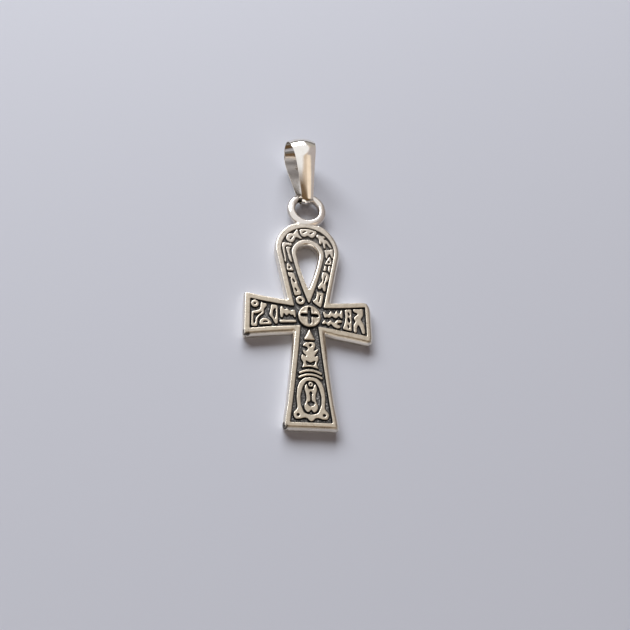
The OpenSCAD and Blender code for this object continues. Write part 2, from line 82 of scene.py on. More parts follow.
def cutLoops(solid, level):
    # The closed lines where a level plane meets a solid
    weld, touch = 1e-7, 1e-9  # metres: points this close are one, or are on the plane
    bm = bmesh.new()
    bm.from_mesh(solid.data)
    bmesh.ops.remove_doubles(bm, verts=bm.verts, dist=weld)
    bmesh.ops.bisect_plane(bm, geom=bm.verts[:] + bm.edges[:] + bm.faces[:], dist=touch,
                           plane_co=(0, 0, level * mm), plane_no=(0, 0, 1),
                           clear_inner=True, clear_outer=True)
    bmesh.ops.remove_doubles(bm, verts=bm.verts, dist=weld)
    loops, seen = [], set()
    for start in bm.verts:
        if start in seen or len(start.link_edges) != 2:
            continue
        loop, here, edge = [], start, start.link_edges[0]
        while here not in seen:
            seen.add(here)
            loop.append((here.co.x / mm, here.co.y / mm))
            here = edge.other_vert(here)
            edge = next((e for e in here.link_edges if e is not edge), edge)
        loops.append(np.array(loop))
    bm.free()
    return loops


def evenLoop(loop, step):
    # The same line with its points an even step apart, and at least eight of them
    closed = np.vstack([loop, loop[:1]])
    run = np.concatenate([[0], np.cumsum(np.linalg.norm(np.diff(closed, axis=0), axis=1))])
    count = max(8, int(round(run[-1] / step)))
    at = np.arange(count) * run[-1] / count
    return np.stack([np.interp(at, run, closed[:, 0]), np.interp(at, run, closed[:, 1])], 1)


def softLoop(loop, rounds, share=1.0):
    # Each round moves every point halfway to the middle of its neighbours, or by a share of that
    share = np.broadcast_to(share, len(loop))[:, None]
    for _ in range(rounds):
        loop = loop + share * 0.25 * (np.roll(loop, 1, 0) + np.roll(loop, -1, 0) - 2 * loop)
    return loop


def area(loop):
    # Positive where the line runs anticlockwise
    x, y = loop.T
    return 0.5 * np.sum(x * np.roll(y, -1) - y * np.roll(x, -1))


def leftOf(loop):
    # The direction to the left of the line, at each point
    way = np.roll(loop, -1, 0) - np.roll(loop, 1, 0)
    way /= np.linalg.norm(way, axis=1)[:, None]
    return np.stack([-way[:, 1], way[:, 0]], 1)


def pointTree(points):
    tree = kdtree.KDTree(len(points))
    for i, p in enumerate(points):
        tree.insert((p[0], p[1], 0), i)
    tree.balance()
    return tree


def nearest(tree, points):
    # Distance to the closest point of the tree, and its number
    found = [tree.find((x, y, 0)) for x, y in points.tolist()]
    return np.array([f[2] for f in found]), np.array([f[1] for f in found])


def signedGap(tree, points, lines, sides):
    # Distance to the nearest line, positive on its left. Up to half a step along the line doesn't count.
    gap, index = nearest(tree, points)
    side = np.einsum("ij,ij->i", points - lines[index], sides[index])
    along = np.clip(gap ** 2 - side ** 2, 0, (castLook["lineStep"] / 2) ** 2)
    gap = np.sqrt(np.maximum(gap ** 2 - along, 0))
    return np.where(side >= 0, gap, -gap)


def thinned(points, pitch):
    # Keeps the first point in each cell of a fine grid
    cells = np.floor(points / pitch).astype(np.int64)
    _, first = np.unique(cells, axis=0, return_index=True)
    return points[np.sort(first)]


def beside(loop, step, offset):
    # A row of points left of a line, all at one distance
    even = evenLoop(loop, step)
    return even + leftOf(even) * offset


def hexGrid(low, high, pitch):
    # Points at the corners of even triangles, every second row half a step across
    rows = []
    rowHeight = pitch * 0.866
    for k, y in enumerate(np.arange(low[1], high[1], rowHeight)):
        x = np.arange(low[0] + (k % 2) * pitch / 2, high[0], pitch)
        rows.append(np.stack([x, np.full(len(x), y)], 1))
    return np.concatenate(rows)


# The casting: plate, rims, signs, disc and soldered ring in one skin

castLook = {
    # a pair whose name ends in From says where something starts and where it is full
    "top": 1.9,                                    # height of the rims and signs
    "fieldDepth": 0.45,                            # the recess round the signs
    "signDrop": 0.04,                              # signs stop a little under the rims
    # the sides, polished until they bulge past the solid's
    "swell": 0.2, "swellFrom": (19.0, 18.0),       # on the plate, under the ring's neck
    "ringSwell": 0.08,
    "footSwell": 0.1, "footSwellFrom": (-15, -18),     # added along the stem's end
    "lowSwell": 0.16,                              # added on the sides towards the foot
    "rightArm": 0.14, "rightArmFrom": (3, 5),      # and most of all under the right arm
    "facingFrom": (0.4, 0.9),                      # when a side counts as facing right or towards the foot
    "backRound": 0.35, "backRise": 0.9,            # they tuck in towards the back
    # the outer front edge: width seen from above, how far it falls, and how late it steepens
    "edge": (0.32, 0.42, 1.8),
    "rightEdge": (0.55, 0.5, 1.3),                 # filed to a wider slope on the right
    "lowEdge": (0.6, 0.9, 1.6),                    # and deeper on the sides towards the foot
    "roundCorner": (11.04, 3.44), "roundCornerFrom": (2.2, 1.1),   # filed rounder than the others
    "fallAway": 3,                                 # slope past an edge, where the other form takes over
    # crown, ring and the solder between them
    "crownAt": (0, 13.3), "crownRadius": 5.8,
    "ringAt": (0, 21.99), "ringRadius": 2.97,      # middle line of the wire
    "wireLevel": 1.38, "wireRound": 0.75, "wireBand": 0.01,   # middle height, radius, half its side band
    "crest": -0.3, "crestFrom": (23.6, 22.4),      # highest near its hole from wear, but round under the bail
    "neckFrom": 18.1,                              # the ring's wire starts here
    "neckCorner": (2.05, 18.95), "neckCornerFrom": (1.2, 0.3),     # filled with solder
    "solder": 0.12,                                # softness of that joint
    # the signs
    "topRound": 0.16, "topFall": 0.10,             # their worn edge: width seen from above, and fall
    "wall": 0.05,                                  # width of the steep wall under it
    "foot": 0.10, "footRise": 0.05,                # fillet at the wall's foot
    "pit": 1.7, "pitGrowth": 1.5,                  # dots shorter round than this, opened by the polishing
    # unevenness of the hand-finished tops: waves in a millimetre, slice of the noise, share
    "waves": ((0.9, 3.7, 1), (2.1, 8.2, 0.5)),
    "waveHeight": 0.016, "waveWall": 0.5, "waveEdge": 0.9,     # full this far from walls and from the outline
    # the disc with its cross, and the mound under it
    "discRadius": 2.0, "discFrom": (0.2, 0.08),    # its lift starts and is full this far past its radius
    "discRound": 0.4, "discFall": 0.14,            # its rounded edge
    "discRise": 0.3, "discLip": 0.02,              # it stands proud, with the upper edge of its walls
    "dish": 0.09, "dishFrom": (0.12, 0.52),        # its quarters are hollowed between their edges
    "crossReach": 1.8, "crossGrowth": 0.09,        # opened by wear
    "mound": (0, -3.5), "moundFrom": (1.5, 1.3), "moundClear": 2.2,
    "moundRound": 0.42, "moundFall": 0.2,          # worn wider than the signs
    # smoothing rounds for the lines cut from the solid
    "lineRounds": 12, "neckRounds": 160, "cornerRounds": 1300, "grownRounds": 6, "wallRounds": 10,
    "crowding": 0.02,                              # a moved line may come this much closer to the old one
    "rimGap": 0.2,                                 # a line closer to the outline is the plate's own edge
    # the mesh: steps along its lines and between its grid points
    "lineStep": 0.03, "rowStep": 0.085, "rimStep": 0.11, "gridStep": 0.15, "backStep": 0.55,
    # rows in from the outline, beside the walls (below zero in the field) and on the back,
    # each with how much closer to a line a point may be
    "edgeRows": (0.01, 0.035, 0.075, 0.13, 0.2, 0.29, 0.4, 0.5, 0.59, 0.66), "edgeSlack": 0.015,
    "wallRows": (0.012, -0.045, 0.05, -0.1, 0.1, -0.16, 0.165), "wallSlack": 0.012,
    "backRows": (0.03, 0.09, 0.18, 0.3, 0.45, 0.57, 0.66), "backSlack": 0.02,
    "ringRows": 0.5,                               # rows from here on are on the ring alone
    "gridInEdge": 0.47, "gridOffWall": 0.21, "backInEdge": 0.7,    # where the grids may start
    "thin": 0.034, "backThin": 0.06,               # closer points are dropped
    "bareGap": 0.5, "farGap": 0.8,                 # gaps written for the ring, and far from any wall
}


def onPlate(points):
    # One on the plate, none on the ring
    return smoothStep(*castLook["swellFrom"], points[:, 1])


def sideSwell(points):
    # How far the side stands out past the solid's, most at the foot
    look = castLook
    plate = (look["swell"] - look["ringSwell"]) * onPlate(points)
    foot = look["footSwell"] * smoothStep(*look["footSwellFrom"], points[:, 1])
    return look["ringSwell"] + plate + foot


def facing(outward):
    # How much an edge faces right, and how much towards the foot
    ends = castLook["facingFrom"]
    return smoothStep(*ends, outward[:, 0]), smoothStep(*ends, -outward[:, 1])


def grown(loop, outward, by):
    # The line would cross itself at an inner corner, so points that come too close to the old one are dropped
    moved = loop + outward * by[:, None]
    free = nearest(pointTree(loop), moved)[0] > by - castLook["crowding"]
    return softLoop(evenLoop(moved[free], castLook["lineStep"]), castLook["grownRounds"])


def castOutlines(solid):
    # The outline, the head's hole and the ring's hole, each with metal on its left
    look = castLook
    outer = []
    for loop in cutLoops(solid, look["wireLevel"]):
        even = evenLoop(loop, look["lineStep"])
        neck = smoothStep(*look["neckCornerFrom"], np.linalg.norm(np.abs(even) - look["neckCorner"], axis=1))
        filed = smoothStep(*look["roundCornerFrom"], np.linalg.norm(even - look["roundCorner"], axis=1))
        soft = softLoop(softLoop(even, look["lineRounds"]), look["neckRounds"], neck)
        outer.append(softLoop(soft, look["cornerRounds"], filed))
    outer.sort(key=lambda loop: -abs(area(loop)))
    outer = [loop if (area(loop) > 0) == (i == 0) else loop[::-1] for i, loop in enumerate(outer)]
    outward = -leftOf(outer[0])
    lowSwell = look["lowSwell"] + look["rightArm"] * smoothStep(*look["rightArmFrom"], outer[0][:, 0])
    swell = sideSwell(outer[0]) + lowSwell * facing(outward)[1] * onPlate(outer[0])
    outer[0] = grown(outer[0], outward, swell)
    ringHole = max(range(len(outer)), key=lambda i: outer[i][:, 1].mean())
    outer[ringHole] = outer[ringHole] - leftOf(outer[ringHole]) * look["ringSwell"]
    return outer


def wallLoops(solid, outer):
    # The walls of the rims, signs, disc and cross, each with raised metal on its left
    look = castLook
    edgeTree = pointTree(np.concatenate(outer))
    walls = []
    for loop in cutLoops(solid, look["top"] - look["fieldDepth"] / 2):
        if nearest(edgeTree, loop)[0].min() < look["rimGap"]:
            continue
        soft = softLoop(evenLoop(loop, look["lineStep"]), look["wallRounds"])
        if len(soft) * look["lineStep"] < look["pit"]:
            soft = soft.mean(0) + look["pitGrowth"] * (soft - soft.mean(0))
        if np.linalg.norm(soft, axis=1).max() < look["crossReach"]:
            growth = np.full(len(soft), look["crossGrowth"])
            soft = grown(soft, -leftOf(soft) * np.sign(area(soft)), growth)
        walls.append(soft)
    # a point inside an even number of these lines is on raised metal
    turned = []
    for loop in walls:
        x, y = loop[0] + leftOf(loop)[0] * look["lineStep"]
        count = 0
        for other in walls:
            ox, oy = other.T
            nx, ny = np.roll(other, -1, 0).T
            over = (oy > y) != (ny > y)
            count += np.count_nonzero(x < (ox + (nx - ox) * (y - oy) / np.where(over, ny - oy, 1))[over])
        turned.append(loop if count % 2 == 0 else loop[::-1])
    return turned


def roundOff(gap, width):
    # Height share of a quarter round of that width, at a distance in from its edge
    return np.sqrt(1 - (1 - np.clip(gap / width, 0, 1)) ** 2)


def blended(plate, wire, sign):
    # Highest or lowest of two heights, with a soft inside corner
    soft = castLook["solder"]
    mix = np.clip(0.5 + sign * (plate - wire) / (2 * soft), 0, 1)
    return wire + (plate - wire) * mix + sign * soft * mix * (1 - mix)


def neckGaps(points):
    # How far a point is inside the crown's edge, and how far outside the middle line of the ring's wire
    look = castLook
    inside = look["crownRadius"] + sideSwell(points) - np.linalg.norm(points - look["crownAt"], axis=1)
    wire = np.linalg.norm(points - look["ringAt"], axis=1) - look["ringRadius"]
    return inside, wire


def frontHeight(points, wallGap, edgeGap, onSign, outward):
    look = castLook
    inside, wire = neckGaps(points)
    nearNeck = points[:, 1] > look["neckFrom"]
    gap = np.where(nearNeck, inside, edgeGap)
    right, low = facing(outward)
    width, fall, late = [plain + right * (toRight - plain) + low * (toFoot - plain) for plain, toRight, toFoot
                         in zip(look["edge"], look["rightEdge"], look["lowEdge"])]
    height = look["top"] - fall * np.clip(1 - gap / width, 0, 1) ** late
    height += look["fallAway"] * np.minimum(gap, 0)

    # the ring's wire
    crest = look["crest"] * smoothStep(*look["crestFrom"], points[:, 1])
    fromCrest = wire - crest
    across = fromCrest / (np.where(fromCrest < 0, -1, 1) * look["wireRound"] - crest)
    wireRise = look["wireRound"] * np.sqrt(np.maximum(1 - across ** 2, 0))
    wireTop = look["wireLevel"] + look["wireBand"] + wireRise
    wireTop -= look["fallAway"] * np.maximum(np.abs(wire) - look["wireRound"], 0)
    height = np.where(nearNeck, blended(height, wireTop, 1), height)

    # worn top edges, steep walls and the fillets at their feet
    fromDisc = np.linalg.norm(points, axis=1)
    mound = smoothStep(*look["moundFrom"], np.linalg.norm(points - look["mound"], axis=1))
    mound *= fromDisc > look["moundClear"]
    topRound = look["topRound"] + (look["moundRound"] - look["topRound"]) * mound
    topFall = look["topFall"] + (look["moundFall"] - look["topFall"]) * mound
    worn = topFall * (1 - roundOff(wallGap, topRound))
    wall, deep = look["wall"], look["fieldDepth"] - look["footRise"]
    steep = topFall + (deep - topFall) * np.clip(-wallGap / wall, 0, 1)
    fillet = look["footRise"] * np.clip(1 + (wallGap + wall) / look["foot"], 0, 1) ** 2
    foot = look["fieldDepth"] - fillet
    height -= np.where(wallGap >= 0, worn, np.where(wallGap > -wall, steep, foot))
    height -= look["signDrop"] * onSign * smoothStep(-wall, 0, wallGap)

    # the disc, and the uneven tops
    far, near = look["discFrom"]
    onDisc = smoothStep(look["discRadius"] + far, look["discRadius"] + near, fromDisc)
    onDisc *= wallGap > -look["discLip"]
    discEdge = look["discFall"] * (1 - roundOff(look["discRadius"] - fromDisc, look["discRound"]))
    dish = look["dish"] * smoothStep(*look["dishFrom"], wallGap)
    height += (look["discRise"] - discEdge - dish) * onDisc
    uneven = np.array([sum(share * noise.noise((x * often, y * often, part))
                           for often, part, share in look["waves"]) for x, y in points.tolist()])
    calm = smoothStep(0, look["waveWall"], wallGap)
    return height + look["waveHeight"] * uneven * calm * smoothStep(0, look["waveEdge"], edgeGap)


def backHeight(points, edgeGap):
    look = castLook
    inside, wire = neckGaps(points)
    nearNeck = points[:, 1] > look["neckFrom"]
    gap = np.where(nearNeck, inside, edgeGap)
    height = look["backRise"] * (1 - roundOff(gap, look["backRound"]))
    height -= look["fallAway"] * np.minimum(gap, 0)
    wireRise = np.sqrt(np.maximum(look["wireRound"] ** 2 - wire ** 2, 0))
    wireLow = look["wireLevel"] - look["wireBand"] - wireRise
    wireLow += look["fallAway"] * np.maximum(np.abs(wire) - look["wireRound"], 0)
    return np.where(nearNeck, blended(height, wireLow, -1), height)


def triangulated(rims, points, fromEdge):
    # Triangles over the rims and the points inside them, without those in the holes
    flat = np.concatenate(rims + [points])
    bounds, first = [], 0
    for rim in rims:
        bounds += [(first + i, first + (i + 1) % len(rim)) for i in range(len(rim))]
        first += len(rim)
    insideRims, weld = 1, 1e-6
    made = geometry.delaunay_2d_cdt([Vector(p) for p in flat.tolist()], bounds, [], insideRims, weld, True)
    placed = np.array([v[:] for v in made[0]])
    source = np.array([ids[0] if ids else -1 for ids in made[3]])
    triangles = np.array(made[2])
    onRim = (source[triangles] < first) & (source[triangles] >= 0)
    doubtful = np.nonzero(onRim.all(axis=1))[0]
    outside = fromEdge(placed[triangles[doubtful]].mean(axis=1)) < 0
    triangles = np.delete(triangles, doubtful[outside], axis=0)
    rimIndex = np.full(first, -1)
    for i, ids in enumerate(made[3]):
        for k in ids:
            if k < first:
                rimIndex[k] = i
    return placed, triangles, rimIndex


def castMesh(solid):
    look = castLook
    outer = castOutlines(solid)
    walls = wallLoops(solid, outer)
    print("casting:", len(outer), "outlines,", len(walls), "relief lines,",
          round(sum(len(w) for w in walls) * look["lineStep"]), "mm long")
    edgeLines, edgeSides = np.concatenate(outer), np.concatenate([leftOf(loop) for loop in outer])
    wallLines, wallSides = np.concatenate(walls), np.concatenate([leftOf(loop) for loop in walls])
    edgeTree, wallTree = pointTree(edgeLines), pointTree(wallLines)
    rims = [evenLoop(loop, look["rimStep"]) for loop in outer]

    def fromEdge(points):
        return signedGap(edgeTree, points, edgeLines, edgeSides)

    def edgeRows(step, offsets, slack):
        # without the points that come too close to another stretch of the outline
        for offset in offsets:
            for loop in outer:
                row = beside(loop, step, offset)
                wanted = (offset < look["ringRows"]) | (row[:, 1] > look["neckFrom"])
                yield row[(fromEdge(row) > offset - slack) & wanted]

    # the front skin
    kept = list(edgeRows(look["rimStep"], look["edgeRows"], look["edgeSlack"]))
    for offset in look["wallRows"]:
        for loop in walls:
            row = beside(loop, look["rowStep"], offset)
            gap = signedGap(wallTree, row, wallLines, wallSides)
            wanted = (np.abs(gap) > abs(offset) - look["wallSlack"]) & (np.sign(gap) == np.sign(offset))
            kept.append(row[wanted])
    grid = hexGrid(edgeLines.min(0), edgeLines.max(0), look["gridStep"])
    grid = grid[fromEdge(grid) > look["gridInEdge"]]
    kept.append(grid[nearest(wallTree, grid)[0] > look["gridOffWall"]])
    inner = thinned(np.concatenate(kept), look["thin"])
    front, triangles, rimIndex = triangulated(rims, inner, fromEdge)
    wallGap = signedGap(wallTree, front, wallLines, wallSides)
    # the outline's rim and the hole's rim have the longest lines, and the rest bound the signs
    byLength = sorted(range(len(walls)), key=lambda k: -len(walls[k]))
    signLine = np.concatenate([np.full(len(w), k not in byLength[:2]) for k, w in enumerate(walls)])
    onSign = signLine[nearest(wallTree, front)[1]]
    edgeGap = np.abs(fromEdge(front))
    edgeGap[rimIndex] = 0
    closest = nearest(edgeTree, front)[1]
    outward = np.where((closest < len(outer[0]))[:, None], -edgeSides[closest], 0)
    onRing = front[:, 1] > look["neckFrom"]
    wallGap[onRing] = np.maximum(wallGap[onRing], look["bareGap"])
    frontZ = frontHeight(front, wallGap, edgeGap, onSign & ~onRing, outward)

    # the back skin
    kept = list(edgeRows(2 * look["rimStep"], look["backRows"], look["backSlack"]))
    grid = hexGrid(edgeLines.min(0), edgeLines.max(0), look["backStep"])
    kept.append(grid[fromEdge(grid) > look["backInEdge"]])
    inner = thinned(np.concatenate(kept), look["backThin"])
    back, backTriangles, backRim = triangulated(rims, inner, fromEdge)
    backGap = nearest(edgeTree, back)[0]
    backGap[backRim] = 0
    backZ = backHeight(back, backGap)

    # the side wall between the two skins, with two rows of its own
    shares = (1 / 3, 2 / 3)
    rimPoints = np.concatenate(rims)
    topZ, lowZ = frontZ[rimIndex], backZ[backRim]
    sides = [np.column_stack([rimPoints, lowZ + (topZ - lowZ) * share]) for share in shares]
    points = np.concatenate([np.column_stack([front, frontZ]), np.column_stack([back, backZ])] + sides)
    firstSide, rimCount = len(front) + len(back), len(rimPoints)
    ladder = [len(front) + backRim]
    ladder += [firstSide + k * rimCount + np.arange(rimCount) for k in range(len(shares))]
    ladder += [rimIndex]
    following, first = np.arange(rimCount) + 1, 0
    for rim in rims:
        following[first + len(rim) - 1] = first
        first += len(rim)
    faces = triangles.tolist() + (backTriangles[:, ::-1] + len(front)).tolist()
    for low, high in zip(ladder, ladder[1:]):
        faces += np.stack([low, low[following], high[following], high], 1).tolist()
    mesh = bpy.data.meshes.new("ankhCasting")
    mesh.from_pydata((points * mm).tolist(), [], faces)
    mesh.shade_smooth()
    # what the finish reads: millimetres from the nearest wall, and from the outline
    extra, far = len(points) - len(front), look["farGap"]
    onSides = np.zeros(len(sides) * rimCount)
    for name, values in (("wallGap", np.concatenate([np.clip(wallGap, -far, far), np.full(extra, far)])),
                         ("edgeGap", np.concatenate([edgeGap, backGap, onSides]))):
        mesh.attributes.new(name, "FLOAT", "POINT").data.foreach_set("value", values.astype(np.float32))
    mesh.validate()
    return mesh


ankh = bpy.data.objects.new("ankhCasting", castMesh(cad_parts["ankh"]))
bpy.context.scene.collection.objects.link(ankh)
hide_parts("ankh")
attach(ankh, "root")
print("casting made:", len(ankh.data.vertices), "points,",
      sum(len(p.vertices) - 2 for p in ankh.data.polygons), "triangles")


# The bail: a folded strip of silver, wide at its fold and narrow where it holds the ring

bailLook = {
    "tipAt": (-0.15, 24.8053, 1.5609),   # middle of the tip's curl
    "tipRadius": 1.5359, "foldRadius": 3.55, "sideRadius": 60,   # arcs of the outer surface
    "length": 12.8, "lean": 11,          # degrees to the left, round its tip
    "thick": 0.4, "edgeThick": 0.12,     # half-round strip, flat inside
    "tipHalf": 1.08, "foldHalf": 2.5,
    # share of the length, share of the growth in width
    "widths": ((0, 0), (0.06, 0.05), (0.19, 0.16), (0.31, 0.3), (0.44, 0.44),
               (0.58, 0.66), (0.72, 0.88), (0.86, 0.96), (1, 1)),
    "widthSteps": 200, "widthRounds": 250,   # how finely and how much that table is smoothed
    "tipDome": 0.2, "foldDome": 0.5,     # how far the strip's edges stand back
    "edgeRound": 0.07, "edgeTurn": 75,   # the edge's round and the degrees it turns each way
    "dent": 0.006, "dents": 0.45,        # uneven from hand polishing: depth, and waves in a millimetre
    "step": 0.11, "across": 26, "edgePoints": 6,
}


def bailPath():
    # Outer surface in the bail's upright plane, with its outward normals: fold, front leaf, tip, back leaf
    look = bailLook
    reach = look["length"] - look["tipRadius"] - look["foldRadius"]
    tipSide, foldSide = look["sideRadius"] - look["tipRadius"], look["sideRadius"] - look["foldRadius"]
    back = (tipSide ** 2 - foldSide ** 2 + reach ** 2) / (2 * reach)
    drop = math.sqrt(tipSide ** 2 - back ** 2)
    foldAngle, tipAngle = math.atan2(drop, reach - back), math.atan2(drop, -back)
    turn = 2 * math.pi
    # middle, radius, first and last angle
    arcs = (((reach, 0), look["foldRadius"], -foldAngle, foldAngle),
            ((back, -drop), look["sideRadius"], foldAngle, tipAngle),
            ((0, 0), look["tipRadius"], tipAngle, turn - tipAngle),
            ((back, drop), look["sideRadius"], turn - tipAngle, turn - foldAngle))
    places, normals = [], []
    for middle, radius, start, end in arcs:
        count = int(math.ceil(radius * (end - start) / look["step"]))
        angle = start + (end - start) * np.arange(count) / count
        normal = np.stack([np.cos(angle), np.sin(angle)], 1)
        places.append(np.array(middle) + radius * normal)
        normals.append(normal)
    tilt = math.asin(back / tipSide)
    swing = np.array([[math.cos(tilt), math.sin(tilt)], [-math.sin(tilt), math.cos(tilt)]])
    return np.concatenate(places) @ swing, np.concatenate(normals) @ swing


def bailMesh():
    look = bailLook
    places, normals = bailPath()
    share = np.clip((places[:, 0] + look["tipRadius"]) / look["length"], 0, 1)
    table = np.array(look["widths"])
    fine = np.linspace(0, 1, look["widthSteps"])
    growth = np.interp(fine, table[:, 0], table[:, 1])
    for _ in range(look["widthRounds"]):
        growth[1:-1] += 0.25 * (growth[:-2] + growth[2:] - 2 * growth[1:-1])
    half = look["tipHalf"] + (look["foldHalf"] - look["tipHalf"]) * np.interp(share, fine, growth)
    dome = look["tipDome"] + (look["foldDome"] - look["tipDome"]) * share
    # one section: over the outer face, round the right edge, back inside, round the left edge
    across = np.linspace(-1, 1, look["across"])
    corner = np.radians(np.linspace(look["edgeTurn"], -look["edgeTurn"], look["edgePoints"]))
    rings = []
    for (along, up), (outAlong, outUp), w, d in zip(places, normals, half, dome):
        flat = w - look["edgeRound"]
        outer = -d * across ** 2
        inner = -look["thick"] - (d + look["edgeThick"] - look["thick"]) * across ** 2
        middle, high = (outer[0] + inner[0]) / 2, (outer[0] - inner[0]) / 2
        edgeX = flat + look["edgeRound"] * np.cos(corner)
        edgeDrop = middle + high * np.sin(corner)
        x = np.concatenate([across * flat, edgeX, across[::-1] * flat, -edgeX])
        drop = np.concatenate([outer, edgeDrop, inner[::-1], edgeDrop[::-1]])
        rings.append(np.stack([x, along + drop * outAlong, up + drop * outUp], 1))
    points = np.array(rings)
    count, around = points.shape[:2]
    lean = math.radians(look["lean"])
    x = points[..., 0] * math.cos(lean) - points[..., 1] * math.sin(lean) + look["tipAt"][0]
    y = points[..., 0] * math.sin(lean) + points[..., 1] * math.cos(lean) + look["tipAt"][1]
    points = np.stack([x, y, points[..., 2] + look["tipAt"][2]], -1).reshape(-1, 3)
    index = np.arange(count * around).reshape(count, around)
    nextRing, nextPoint = np.roll(index, -1, 0), np.roll(index, -1, 1)
    faces = np.stack([index, nextPoint, np.roll(nextRing, -1, 1), nextRing], -1).reshape(-1, 4)
    mesh = bpy.data.meshes.new("bailStrip")
    mesh.from_pydata((points * mm).tolist(), [], faces.tolist())
    mesh.shade_smooth()
    mesh.validate()
    for vertex in mesh.vertices:
        push = noise.noise(vertex.co / mm * look["dents"]) * look["dent"] * mm
        vertex.co += vertex.normal * push
    return mesh


bail = bpy.data.objects.new("bailStrip", bailMesh())
bpy.context.scene.collection.objects.link(bail)
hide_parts("bail")
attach(bail, "root")
print("bail made:", len(bail.data.vertices), "points")


# Finishes

silverLook = {
    "tops": "#b1a593",         # thin yellowish tarnish on the rubbed tops
    "worn": "#cbc0af",         # lighter along their edges
    "loop": "#bab2a8",         # painted light: the tops lighter towards the loop, the side the light comes from
    "film": "#8b7e69",         # more tarnish where the wheel has missed
    "clean": "#ece6dc",        # bare silver of the outer edges and sides
    "ring": "#d9d2ca",         # the ring, handled but never blackened
    "sulphide": "#0b0b0c",     # black that the liver of sulphur leaves against the walls
    "field": "#4a4846",        # dark grey of the open field
    "fieldSpeck": "#b9b6b0",   # grains that the wheel has touched
    "loopFieldLit": "#6e6963",    # painted light: the field lighter towards the loop, the side the light comes from
    "stain": "#1f1710",        # brown-black spots of old tarnish at two outer corners
    "stains": ((-10.75, -3.6, 1.3), (-4.2, -19.1, 1.3)), "stainFrom": (1.4, 1.08), "stainRagged": 1.2,
    # sizes of the patterns in millimetres
    "grit": 0.22,              # grains of the matted field
    "ragged": 0.25, "raggedness": 0.06,    # the border of the rubbed metal, and how far it wanders
    "mottle": 0.9,             # cloudy shine of the tops
    "filmPatch": 0.5,          # patches of tarnish
    "scratch": 0.05,           # polishing scratches, coarser than the real 0.01 so that they show
    "scratchDepth": 0.05,
}


